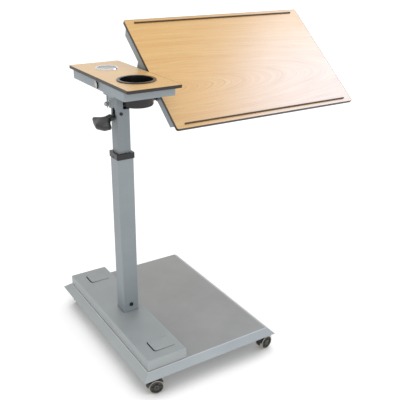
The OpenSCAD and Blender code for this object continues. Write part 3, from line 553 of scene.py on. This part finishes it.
def cross_screw(radius):
    """A pan-head screw, head up at the origin, with a cross recess. What its head
    measures is stated in shares of its radius, or of the height of its side."""
    height = 0.55 * radius
    shoulder, wall = 0.22 * radius, 0.2 * radius
    crown, depth = 0.35 * height, 0.7 * height
    arm_width, waist, taper = 0.8, 0.34, 0.8
    form = bmesh.new()
    bmesh.ops.create_cone(form, cap_ends=True, segments=32, radius1=radius, radius2=radius,
                          depth=height)
    top = [face for face in form.faces if face.normal.z > FACING]
    bmesh.ops.inset_region(form, faces=top, thickness=shoulder)
    bmesh.ops.translate(form, verts=corners_of(top), vec=(0, 0, crown))
    bmesh.ops.inset_region(form, faces=top, thickness=wall)
    for corner in corners_of(top):
        in_arm = abs(cos(2 * Vector((1, 0)).angle_signed(corner.co.xy))) > arm_width
        corner.co.xy *= 1.0 if in_arm else waist
    sunk = corners_of(bmesh.ops.extrude_discrete_faces(form, faces=top)["faces"])
    bmesh.ops.translate(form, verts=sunk, vec=(0, 0, -depth))
    bmesh.ops.scale(form, verts=sunk, vec=(taper, taper, 1))
    return form


def islands(node):
    """The middle and the radius of each separate solid of a CAD node."""
    form = merged_copy(node)
    left, found = set(form.verts), []
    while left:
        group, rim = set(), [left.pop()]
        while rim:
            point = rim.pop()
            group.add(point)
            near = {edge.other_vert(point) for edge in point.link_edges} & left
            left -= near
            rim += near
        low = Vector([min(point.co[k] for point in group) for k in range(3)])
        high = Vector([max(point.co[k] for point in group) for k in range(3)])
        found.append(((low + high) / 2, (high - low).x / 2))
    form.free()
    return sorted(found, key=lambda item: tuple(item[0]))


def screw_set(node, up):
    """Pan-head screws with cross recesses in place of a CAD node's plain heads, and
    within them."""
    form = bmesh.new()
    for place, radius in islands(node):
        joined(form, moved(cross_screw(0.96 * radius), facing(up, place)))
    return make_piece(form, node + "_crossed", body_of(node), ["zinc_plate"], [node])


def wheel_disc(bore, radius, width, ribs=6):
    """One wheel's disc, inner face down at the origin: rim, sunk web with ribs, hub.
    What it measures is stated in shares of its radius and its width."""
    rim, hub, shoulder = 0.87 * radius, 0.40 * radius, 0.98 * radius
    web, rim_top, rib_middle = 0.60 * width, 0.93 * width, 0.58 * width
    rib_thick, rib_high = 0.07 * radius, 0.5 * width
    form = bmesh.new()
    revolve(form, [(bore, 0), (shoulder, 0), (radius, 0.03 * width), (radius, 0.90 * width),
                   (shoulder, rim_top), (rim, rim_top), (0.97 * rim, web), (1.08 * hub, web),
                   (hub, 0.96 * width), (0.94 * hub, width), (bore, width), (bore, 0)])
    for index in range(ribs):
        rib = bmesh.ops.create_cube(form, size=1.0)["verts"]
        bmesh.ops.scale(form, vec=(rim - hub, rib_thick, rib_high), verts=rib)
        bmesh.ops.translate(form, vec=((rim + hub) / 2, 0, rib_middle), verts=rib)
        bmesh.ops.rotate(form, cent=(0, 0, 0), verts=rib,
                         matrix=Matrix.Rotation(2 * pi * index / ribs, 3, "Z"))
    return form


def turned_size(node, place, axis):
    """Of a CAD node that is turned about an axis and mirrored across a place: its
    bore's radius, its radius, and how far along the axis it starts and ends."""
    spots = [spot.co - place for spot in frame["nodes"][node].data.vertices]
    along = [abs(spot.dot(axis)) for spot in spots]
    out = [(spot - axis * spot.dot(axis)).length for spot in spots]
    return min(out), max(out), min(along), max(along)


def weld_ring(radius, bead):
    """A rippled weld bead round a tube that lies along Z."""
    form = bmesh.new()
    ripples = int(2 * pi * radius / (bead * RIPPLE_PITCH))
    made = bmesh.ops.create_circle(form, segments=BEAD_SIDES, radius=bead)["verts"]
    moved(form, Matrix.Translation((radius, 0, 0)) @ Matrix.Rotation(pi / 2, 4, "X"))
    spin(form, made + form.edges[:], ripples * 2)
    for point in form.verts:
        angle = Vector((1, 0)).angle_signed(point.co.xy)
        ring = Vector((cos(angle), -sin(angle), 0)) * radius
        point.co = ring + (point.co - ring) * (1 + RIPPLE_DEPTH * cos(angle * ripples))
    return form


def weld_run(start, end, bead):
    """A rippled weld bead between two points, thinning at its ends."""
    end_width, end_share = 0.45, 1 / 8
    form = bmesh.new()
    run = Vector(end) - Vector(start)
    ripples = int(run.length / (bead * RIPPLE_PITCH))
    bmesh.ops.create_cone(form, cap_ends=True, segments=BEAD_SIDES, radius1=bead, radius2=bead,
                          depth=run.length)
    sides = [edge for edge in form.edges
             if abs(edge.verts[0].co.z - edge.verts[1].co.z) > bead]
    bmesh.ops.subdivide_edges(form, edges=sides, cuts=ripples * 2 - 1, use_grid_fill=True)
    for point in form.verts:
        along = point.co.z / run.length + 0.5
        full = min(1, along / end_share, (1 - along) / end_share)
        ripple = 1 + RIPPLE_DEPTH * cos(2 * pi * along * ripples)
        point.co.xy *= ripple * (end_width + (1 - end_width) * full)
    return moved(form, facing(run, (Vector(start) + Vector(end)) / 2))


class TABLE_OT_finishes(bpy.types.Operator):
    """Makes the table's finishes"""

    bl_idname = "table.finishes"
    bl_label = "Finishes"

    def execute(self, context):
        tones = context.scene.table_finishes
        powder_coat("powder_coat_silver", tones.column_coat)
        powder_coat("powder_coat_inner", tones.inner_coat)
        powder_coat("powder_coat_grey", tones.base_coat)
        powder_coat("powder_coat_cover", tones.cover_coat)
        powder_coat("powder_coat_fold_highlight", tones.fold_highlight)
        for board, slope, heart in (("desk", desk_slope(), (-0.37, -0.05)),
                                    ("side", 0, (-0.3, -0.09))):
            beech_laminate("beech_laminate_" + board, tones, centre_of(board + "_board"), slope,
                           heart)
        board_backer("kraft_backer", tones.backer)
        for name, tone, rough, grain_mm, depth in (
                ("abs_edge_band", tones.band, 0.42, 0.9, 0.25),
                ("pvc_ledge_brown", tones.ledge, 0.45, 0.9, 0.25),
                ("polypropylene_black", tones.moulding, 0.24, 0.7, 0.08),
                ("nylon_black_grip", tones.moulding, 0.36, 1.0, 0.20),
                ("nylon_natural", tones.nylon, 0.45, 1.2, 0.10),
                ("abs_grey_lid", tones.lid, 0.38, 0.9, 0.12),
                ("polyurethane_tread", tones.tread, 0.60, 1.4, 0.3),
                ("nylon_wheel", tones.wheel, 0.48, 1.0, 0.3)):
            grained_plastic(name, tone, rough, grain_mm, depth)
        for name, tone, rough, streak_mm in (("chrome_plate", tones.chrome, 0.10, 2.0),
                                             ("zinc_plate", tones.zinc, 0.32, 0.8),
                                             ("blackened_steel", tones.blackened, 0.40, 0.8)):
            plated_metal(name, tone, rough, streak_mm)
        return {"FINISHED"}


class TABLE_OT_base(bpy.types.Operator):
    """Dresses the sheet steel base and its cover"""

    bl_idname = "table.base"
    bl_label = "Base"

    level: FloatProperty(
        name="Level", description="How far up a face of the tray looks that is its deck",
        subtype="FACTOR", min=0, max=1, default=0.999)
    folded: FloatProperty(
        name="Folded", description="How far up a face of the tray looks that is in a fold",
        subtype="FACTOR", min=0, max=1, default=0.79)

    def execute(self, context):
        edges = context.scene.table_edges
        form = merged_copy("base_tray")
        form.normal_update()
        # The tray is one sheet in one coat: its deck takes the grey coat and its skirts the cover's
        # bluer coat, a painted difference of light between the faces.
        for face in form.faces:
            up = face.normal.z
            # Faces in the folds take the pale fold coat, a painted highlight along the folds.
            face.material_index = 0 if up > self.level else 2 if up > self.folded else 1
        ease(form, edges.sheet, edges.steps)
        make_piece(form, "base_tray_folded", "base",
                   ["powder_coat_grey", "powder_coat_cover", "powder_coat_fold_highlight"],
                   ["base_tray"], outward=False)
        eased_copy("plinth_cover", edges.sheet, "powder_coat_cover", edges.steps)
        eased_copy("foot_plate", edges.sheet, "powder_coat_silver", edges.steps)
        for node in ("caster_pads", "foot_bolts"):
            eased_copy(node, edges.turned, "zinc_plate", edges.fine_steps)
        return {"FINISHED"}


class TABLE_OT_column(bpy.types.Operator):
    """Dresses the two column tubes, the collar and the guide bush"""

    bl_idname = "table.column"
    bl_label = "Column"

    def execute(self, context):
        edges = context.scene.table_edges
        for node, finish in (("lower_tube", "powder_coat_silver"),
                             ("upper_tube", "powder_coat_inner")):
            eased_copy(node, edges.turned, finish, edges.fine_steps)
        eased_copy("column_collar", edges.moulded, "polypropylene_black",
                   edges.steps)
        for node, finish, slot in (("collar_screw", "blackened_steel", "steel_dark"),
                                   ("guide_bush", "nylon_natural", "plastic_white")):
            eased_copy(node, edges.turned, finish, edges.fine_steps)
        return {"FINISHED"}


class TABLE_OT_gas_spring(bpy.types.Operator):
    """Dresses the gas spring, its anchor bolt and its release pin"""

    bl_idname = "table.gas_spring"
    bl_label = "Gas spring"

    def execute(self, context):
        edges = context.scene.table_edges
        dress_node("spring_cylinder", "blackened_steel")
        dress_node("spring_rod", "chrome_plate")
        dress_node("rod_seat", "zinc_plate")
        dress_node("release_pin", "blackened_steel")
        eased_copy("anchor_bolt", edges.turned, "blackened_steel", edges.fine_steps)
        return {"FINISHED"}


class TABLE_OT_head(bpy.types.Operator):
    """Dresses the head bracket with its weld, bushes, spacer and nut"""

    bl_idname = "table.head"
    bl_label = "Head bracket"

    def execute(self, context):
        edges = context.scene.table_edges
        eased_copy("head_bracket", edges.sheet, "powder_coat_silver", edges.steps)
        for node, radius, finish, slot in (
                ("shaft_bushes", edges.turned, "nylon_natural", "plastic_white"),
                ("shaft_spacer", edges.moulded, "nylon_black_grip", "plastic_black"),
                ("shaft_nut", edges.turned, "zinc_plate", "zinc")):
            eased_copy(node, radius, finish, edges.fine_steps)
        dress_node("lever_pin", "blackened_steel")
        self.weld_seam(edges)
        return {"FINISHED"}

    def weld_seam(self, edges):
        """Runs a bead up the column's back corner, from the bracket's foot to the pan."""
        foot_gap, bead = 3 * edges.weld, 0.7 * edges.weld
        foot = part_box("head_bracket")[0].z + foot_gap
        under_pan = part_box("side_pan")[0].z - edges.weld
        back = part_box("upper_tube")[1].y
        cheek = min(spot.co.x for spot in frame["nodes"]["head_bracket"].data.vertices
                    if spot.co.y > back + edges.weld)
        seam = weld_run((cheek, back, foot), (cheek, back, under_pan), bead)
        make_piece(seam, "bracket_seam_weld", "head", ["powder_coat_silver"])


class TABLE_OT_side_table(bpy.types.Operator):
    """Dresses the side table: pan, board, edge band, port bush and screws"""

    bl_idname = "table.side_table"
    bl_label = "Side table"

    outer_face: FloatProperty(
        name="Outer face", description="How far left a face of the port bush looks that is grey",
        subtype="FACTOR", min=0, max=1, default=0.6)

    def execute(self, context):
        edges = context.scene.table_edges
        eased_copy("side_pan", edges.sheet, "powder_coat_silver", edges.steps)
        eased_copy("side_edge_band", edges.band, "abs_edge_band", edges.steps)
        form = merged_copy("port_bush")
        ease(form, edges.turned, edges.fine_steps)
        form.normal_update()
        for face in form.faces:
            face.material_index = 0 if face.normal.x < -self.outer_face else 1
        make_piece(form, "port_plug_moulded", "head", ["abs_grey_lid", "polypropylene_black"],
                   ["port_bush"], outward=False)
        board_piece("side_board", "beech_laminate_side", Vector((0, 0, 1)))
        screw_set("side_screws", (0, 0, -1))
        return {"FINISHED"}


class TABLE_OT_grommet(bpy.types.Operator):
    """Turns the chromed cable ring and its moulded lid"""

    bl_idname = "table.grommet"
    bl_label = "Cable grommet"

    def execute(self, context):
        edges = context.scene.table_edges
        eased_copy("grommet_ring", edges.turned, "chrome_plate", edges.steps)
        low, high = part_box("grommet_lid")
        radius, thick = (high.x - low.x) / 2, high.z - low.z
        rim, dish = 0.93 * radius, 0.22 * thick
        foot, halfway = 0.985 * rim, 0.5 * rim
        form = bmesh.new()
        revolve(form, [(0, 0), (radius, 0), (radius, thick), (rim, thick), (foot, thick - dish),
                       (halfway, thick - 0.6 * dish), (0, thick - 0.4 * dish)])
        ease(form, edges.turned, edges.fine_steps)
        middle = (low + high) / 2
        moved(form, Matrix.Translation((middle.x, middle.y, low.z)))
        make_piece(form, "grommet_lid_dished", "grommet_cap", ["abs_grey_lid"],
                   ["grommet_lid"])
        return {"FINISHED"}


class TABLE_OT_cup(bpy.types.Operator):
    """Dresses the cup insert"""

    bl_idname = "table.cup"
    bl_label = "Cup insert"

    def execute(self, context):
        edges = context.scene.table_edges
        eased_copy("cup_insert", edges.turned, "polypropylene_black", edges.steps)
        return {"FINISHED"}


class TABLE_OT_lever(bpy.types.Operator):
    """Dresses the release lever and moulds its grip"""

    bl_idname = "table.lever"
    bl_label = "Release lever"

    skin_size: length("Skin size", "Size of the cells that the grip's skin is made from", 1.3)
    smooth_passes: IntProperty(
        name="Smoothing", description="Passes that melt the grip's parts into one form", default=14)

    def execute(self, context):
        edges = context.scene.table_edges
        eased_copy("release_lever", edges.turned, "blackened_steel", edges.fine_steps)
        form = merged_copy("lever_grip")
        mesh = bpy.data.meshes.new("grip_blank")
        form.to_mesh(mesh)
        form.free()
        blank = bpy.data.objects.new("grip_blank", mesh)
        context.scene.collection.objects.link(blank)
        skin = blank.modifiers.new("Skin", "REMESH")
        skin.mode, skin.voxel_size, skin.adaptivity = "VOXEL", self.skin_size, 0
        melt = blank.modifiers.new("Melt", "SMOOTH")
        melt.factor, melt.iterations = 0.5, self.smooth_passes
        shaped = bpy.data.meshes.new_from_object(
            blank.evaluated_get(context.evaluated_depsgraph_get()))
        bpy.data.objects.remove(blank)
        form = bmesh.new()
        form.from_mesh(shaped)
        make_piece(form, "lever_grip_moulded", "lever", ["nylon_black_grip"],
                   ["lever_grip"], outward=False)
        return {"FINISHED"}


class TABLE_OT_desk_top(bpy.types.Operator):
    """Dresses the desk top, its edge band and its two ledges"""

    bl_idname = "table.desk_top"
    bl_label = "Desk top"

    def execute(self, context):
        edges = context.scene.table_edges
        board_piece("desk_board", "beech_laminate_desk", desk_up())
        eased_copy("desk_edge_band", edges.band, "abs_edge_band", edges.steps)
        for node in ("lower_ledge", "upper_ledge"):
            eased_copy(node, edges.turned, "pvc_ledge_brown", edges.fine_steps)
        return {"FINISHED"}


class TABLE_OT_desk_frame(bpy.types.Operator):
    """Dresses the steel frame under the desk, with its welds and screws"""

    bl_idname = "table.desk_frame"
    bl_label = "Desk frame"

    def execute(self, context):
        edges = context.scene.table_edges
        for node in ("left_rail", "right_rail", "left_gusset", "right_gusset", "torsion_tube"):
            eased_copy(node, edges.sheet, "powder_coat_silver", edges.fine_steps)
        dress_node("tilt_shaft", "zinc_plate")
        screw_set("desk_screws", -desk_up())
        low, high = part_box("torsion_tube")
        pivot = Vector(JOINTS["desk_tilt"]["pos_m"])
        inset = 0.4 * edges.weld
        form = bmesh.new()
        for side in (low.x + inset, high.x - inset):
            joined(form, moved(weld_ring((high.z - low.z) / 2, edges.weld),
                               facing((1, 0, 0), (side, pivot.y, pivot.z))))
        make_piece(form, "torsion_tube_welds", "desk", ["powder_coat_silver"])
        return {"FINISHED"}


class TABLE_OT_casters(bpy.types.Operator):
    """Dresses the four twin-wheel casters"""

    bl_idname = "table.casters"
    bl_label = "Casters"

    def execute(self, context):
        edges = context.scene.table_edges
        eased_copy("caster_stems", edges.turned, "zinc_plate", edges.fine_steps)
        for corner in CORNERS:
            for node, finish, slot in ((corner + "_fork", "nylon_black_grip", "plastic_black"),
                                       (corner + "_axle", "blackened_steel", "zinc")):
                eased_copy(node, edges.turned, finish, edges.fine_steps)
            self.mould_discs(corner)
            eased_copy(corner + "_treads", edges.moulded, "polyurethane_tread",
                       edges.steps)
        return {"FINISHED"}

    def mould_discs(self, corner):
        """Puts two full discs in place of a caster's plain ones, hubs outward."""
        node, roll = corner + "_wheels", JOINTS[corner + "_roll"]
        place, axis = Vector(roll["pos_m"]), Vector(roll["axis"]).normalized()
        bore, radius, near, far = turned_size(node, place, axis)
        form = bmesh.new()
        for side in (axis, -axis):
            joined(form, moved(wheel_disc(bore, radius, far - near),
                               facing(side, place + side * near)))
        make_piece(form, corner + "_discs", body_of(node), ["nylon_wheel"], [node])


class TABLE_OT_stage(bpy.types.Operator):
    """Sets the floor, the light and the camera"""

    bl_idname = "table.stage"
    bl_label = "Studio"

    def execute(self, context):
        stage = context.scene.table_stage
        self.floor(context, stage)
        self.light(context, stage)
        self.camera(context, stage)
        context.scene.view_settings.view_transform = "Standard"
        return {"FINISHED"}

    def seen_ray(self, tree):
        """1 for rays that the camera, a gloss or a clear material sends out."""
        path = add(tree, "ShaderNodeLightPath").outputs
        direct = add(tree, "ShaderNodeMath", {0: path["Is Camera Ray"], 1: path["Is Glossy Ray"]},
                     operation="MAXIMUM")
        every = add(tree, "ShaderNodeMath", {0: direct.outputs[0], 1: path["Is Transmission Ray"]},
                    operation="MAXIMUM")
        return every.outputs[0]

    def floor(self, context, stage):
        """Lays a wide pale floor that glows a little and darkens near the table."""
        reach = 40
        form = bmesh.new()
        bmesh.ops.create_grid(form, x_segments=1, y_segments=1, size=reach)
        mesh = bpy.data.meshes.new("studio_floor")
        form.to_mesh(mesh)
        form.free()
        paint = bpy.data.materials.new("studio_floor_paint")
        paint.use_nodes = True
        tree = paint.node_tree
        tree.nodes.clear()
        near = add(tree, "ShaderNodeAmbientOcclusion", {"Distance": stage.contact}, samples=24)
        open_part = add(tree, "ShaderNodeMapRange", {
            "Value": near.outputs["AO"], "From Min": 0.30, "From Max": 0.80,
            "To Min": 0.50, "To Max": 1.0}, interpolation_type="SMOOTHSTEP").outputs["Result"]
        tone = blend(tree, open_part, BLACK, tuple(stage.floor))
        lit = add(tree, "ShaderNodeBsdfDiffuse", {"Color": tone})
        glow = add(tree, "ShaderNodeEmission", {"Color": tone, "Strength": stage.glow})
        dark = add(tree, "ShaderNodeEmission", {"Strength": 0.0})
        seen = add(tree, "ShaderNodeMixShader",
                   {0: self.seen_ray(tree), 1: dark.outputs[0], 2: glow.outputs[0]})
        both = add(tree, "ShaderNodeAddShader", {0: lit.outputs[0], 1: seen.outputs[0]})
        add(tree, "ShaderNodeOutputMaterial", {"Surface": both.outputs[0]})
        mesh.materials.append(paint)
        floor = bpy.data.objects.new("studio_floor", mesh)
        context.scene.collection.objects.link(floor)

    def light(self, context, stage):
        """Hangs a white sky all round and three lamps that look at the table's middle."""
        world = bpy.data.worlds.new("studio_sky")
        world.use_nodes = True
        tree = world.node_tree
        tree.nodes.clear()
        level = spread(tree, self.seen_ray(tree), stage.sky, 1.0)
        sky = add(tree, "ShaderNodeBackground", {"Color": WHITE, "Strength": level})
        add(tree, "ShaderNodeOutputWorld", {"Surface": sky.outputs[0]})
        context.scene.world = world
        middle = Vector((0, 0, 0.6))
        for name, place, size, watts, tone, lights_all in (
                ("key_softbox", (1.75, 0.25, 2.3), 0.8, stage.key_power, WHITE, True),
                ("sheen_panel", (1.62, -0.30, 2.20), 1.0, stage.sheen_power, stage.sheen_tone,
                 False),
                ("front_fill", (-0.4, -2.7, 1.9), 1.8, stage.fill_power, WHITE, True)):
            lamp = bpy.data.lights.new(name, "AREA")
            lamp.size, lamp.energy, lamp.color = size, watts, tone[:3]
            held = bpy.data.objects.new(name, lamp)
            held.matrix_world = facing(Vector(place) - middle, place)
            held.visible_diffuse = lights_all
            context.scene.collection.objects.link(held)

    def camera(self, context, stage):
        """Stands the camera in its place, turned, pitched and rolled."""
        turned, down, roll = stage.azimuth, stage.pitch, stage.roll
        view = Vector((sin(turned) * cos(down), cos(turned) * cos(down), -sin(down)))
        right = Vector((cos(turned), -sin(turned), 0))
        up = right.cross(view)
        leaned = (right * cos(roll) + up * sin(roll), up * cos(roll) - right * sin(roll), -view)
        nearest, farthest = 0.01, 100
        lens = bpy.data.cameras.new("studio_camera")
        lens.sensor_width, lens.lens = stage.sensor, stage.lens
        lens.clip_start, lens.clip_end = nearest, farthest
        held = bpy.data.objects.new("studio_camera", lens)
        standing = Matrix(leaned).transposed().to_4x4()
        held.matrix_world = Matrix.Translation(stage.camera_place) @ standing
        context.scene.collection.objects.link(held)
        context.scene.camera = held


class TABLE_PT_panel(bpy.types.Panel):
    """Lists the table's operators in the sidebar"""

    bl_idname = "TABLE_PT_panel"
    bl_label = "Work table"
    bl_space_type = "VIEW_3D"
    bl_region_type = "UI"
    bl_category = "Work table"

    def draw(self, context):
        for operator in OPERATORS:
            self.layout.operator(operator.bl_idname)


GROUPS = {"table_finishes": TableFinishes, "table_edges": TableEdges, "table_stage": TableStage}
OPERATORS = (
    TABLE_OT_finishes, TABLE_OT_base, TABLE_OT_column, TABLE_OT_gas_spring, TABLE_OT_head,
    TABLE_OT_side_table, TABLE_OT_grommet, TABLE_OT_cup, TABLE_OT_lever, TABLE_OT_desk_top,
    TABLE_OT_desk_frame, TABLE_OT_casters, TABLE_OT_stage)


def register():
    """Registers the settings, the operators and the panel."""
    for kind in (*GROUPS.values(), *OPERATORS, TABLE_PT_panel):
        bpy.utils.register_class(kind)
    for name, group in GROUPS.items():
        setattr(bpy.types.Scene, name, PointerProperty(type=group))


def unregister():
    """Takes them all away again."""
    for name in GROUPS:
        delattr(bpy.types.Scene, name)
    for kind in reversed((*GROUPS.values(), *OPERATORS, TABLE_PT_panel)):
        bpy.utils.unregister_class(kind)


def main():
    """Runs every operator in order."""
    register()
    for operator in OPERATORS:
        group, name = operator.bl_idname.split(".")
        getattr(getattr(bpy.ops, group), name)()


if __name__ == "__main__":
    main()
